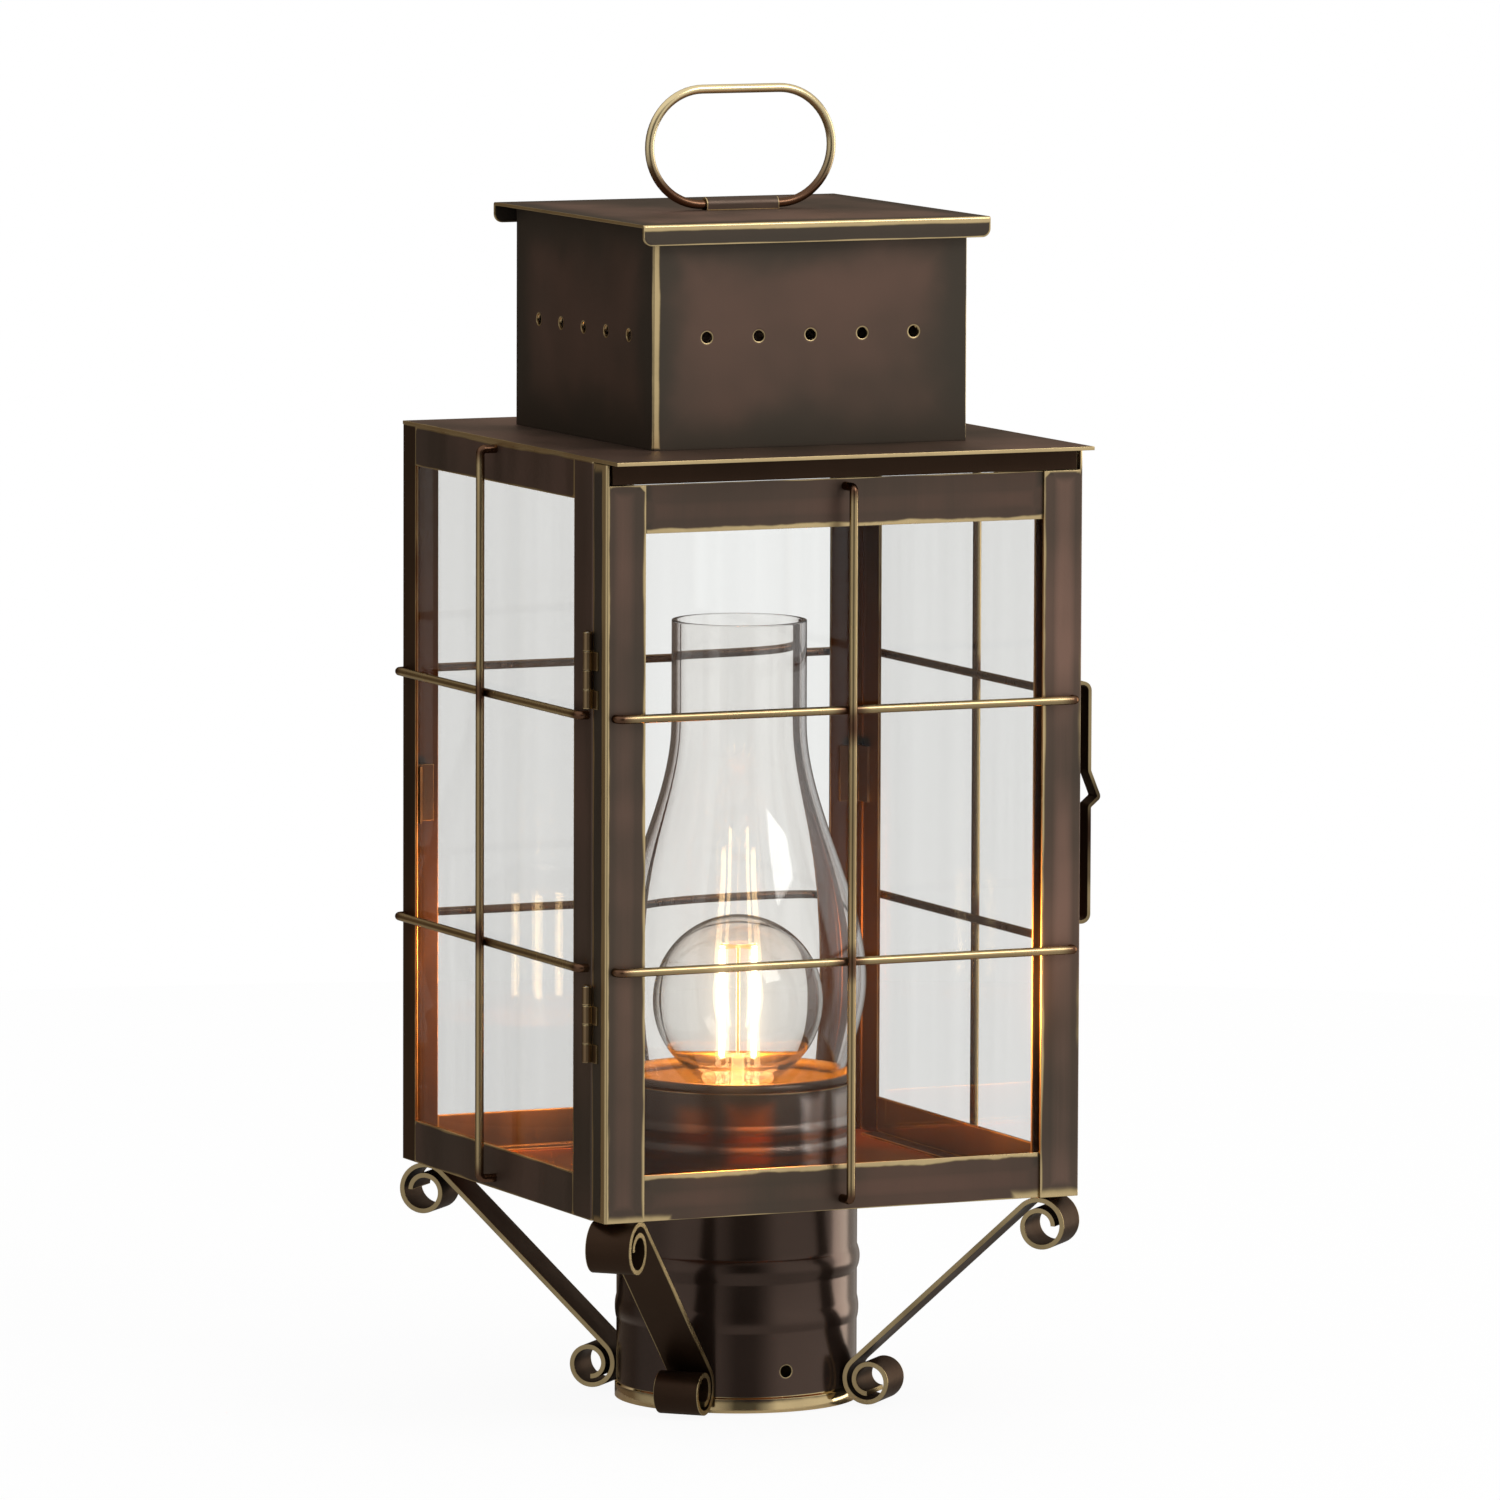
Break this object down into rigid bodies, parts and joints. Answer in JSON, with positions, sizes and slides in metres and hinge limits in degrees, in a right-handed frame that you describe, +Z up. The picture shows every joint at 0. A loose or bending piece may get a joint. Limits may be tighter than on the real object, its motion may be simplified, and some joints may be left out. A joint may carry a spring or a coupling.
{
  "type": "post top lantern",
  "caption": "Square glazed post top lantern with a hinged door, wire guards, chimney glass and globe bulb, scroll brackets, a vented top with carrying handle, and a round post fitter.",
  "frame": {"origin": "centre of the post fitter's bore at its foot", "axes": "+Z up along the post, -Y towards the hinged door"},
  "size_m": [0.1847, 0.1858, 0.4363],
  "materials": {
    "bronze": "dark antique bronze patina over brass sheet, brushed, edges worn to gold",
    "worn_brass": "antique brass wire and strip, worn bright on its outer side",
    "warm_brass": "satin brass sheet",
    "cup_brass": "spun brass with dark patina",
    "cap_brass": "bright rolled brass screw cap",
    "socket_brass": "plain brass of the screw sleeve and the contact",
    "clip_bronze": "dark folded clips",
    "pin_steel": "bright drawn pin",
    "porcelain": "white glazed socket body",
    "pane_glass": "clear flat pane",
    "chimney_glass": "clear blown chimney glass",
    "bulb_glass": "clear bulb envelope",
    "stem_glass": "clear stem glass",
    "filament": "lit carbon-style filament"
  },
  "bodies": {
    "lantern": {"post_fitter": "bronze", "fitter_collar": "bronze", "front_left_scroll": "bronze", "front_right_scroll": "bronze", "back_left_scroll": "bronze", "back_right_scroll": "bronze", "floor_plate": "warm_brass", "back_left_post": "bronze", "back_right_post": "bronze", "front_left_post": "bronze", "front_right_post": "bronze", "left_top_rail": "bronze", "left_bottom_rail": "bronze", "right_top_rail": "bronze", "right_bottom_rail": "bronze", "back_top_rail": "bronze", "back_bottom_rail": "bronze", "roof_plate": "bronze", "header_strip": "bronze", "vent_box": "bronze", "lid": "bronze", "handle_strap": "worn_brass", "left_guard_lower": "worn_brass", "left_guard_upper": "worn_brass", "left_guard_upright": "worn_brass", "right_guard_lower": "worn_brass", "right_guard_upper": "worn_brass", "right_guard_upright": "worn_brass", "back_guard_lower": "worn_brass", "back_guard_upper": "worn_brass", "back_guard_upright": "worn_brass", "left_pane": "pane_glass", "right_pane": "pane_glass", "back_pane": "pane_glass", "pane_clips": "clip_bronze", "post_knuckles": "worn_brass", "hinge_pins": "pin_steel", "chimney_cup": "cup_brass", "chimney_seat": "cup_brass", "socket_body": "porcelain", "screw_sleeve": "socket_brass", "centre_contact": "socket_brass"},
    "door": {"door_left_stile": "bronze", "door_right_stile": "bronze", "door_top_rail": "bronze", "door_bottom_rail": "bronze", "door_pane": "pane_glass", "door_clips": "clip_bronze", "door_guard_lower": "worn_brass", "door_guard_upper": "worn_brass", "door_guard_upright": "worn_brass", "door_knuckles": "worn_brass", "latch_strip": "worn_brass"},
    "handle": {"handle_loop": "worn_brass"},
    "chimney": {"chimney_glass": "chimney_glass", "chimney_neck": "chimney_glass"},
    "bulb": {"bulb_cap": "cap_brass", "bulb_glass": "bulb_glass", "bulb_stem": "stem_glass", "bulb_filaments": "filament"}
  },
  "joints": [
    {"name": "door_hinge", "type": "hinge", "parent": "lantern", "child": "door", "pos_m": [-0.0868, -0.0742, 0.195], "axis": [0, 0, -1], "range_deg": [0, 120]},
    {"name": "handle_fall", "type": "hinge", "parent": "lantern", "child": "handle", "pos_m": [0, 0, 0.3968], "axis": [1, 0, 0], "range_deg": [-85, 85]},
    {"name": "chimney_lift", "type": "slide", "parent": "lantern", "child": "chimney", "axis": [0, 0, 1], "range_m": [0, 0.078]},
    {"name": "bulb_unscrew", "type": "hinge", "parent": "lantern", "child": "bulb", "pos_m": [0, 0, 0.1], "axis": [0, 0, 1], "range_deg": [0, 1080]}
  ]
}
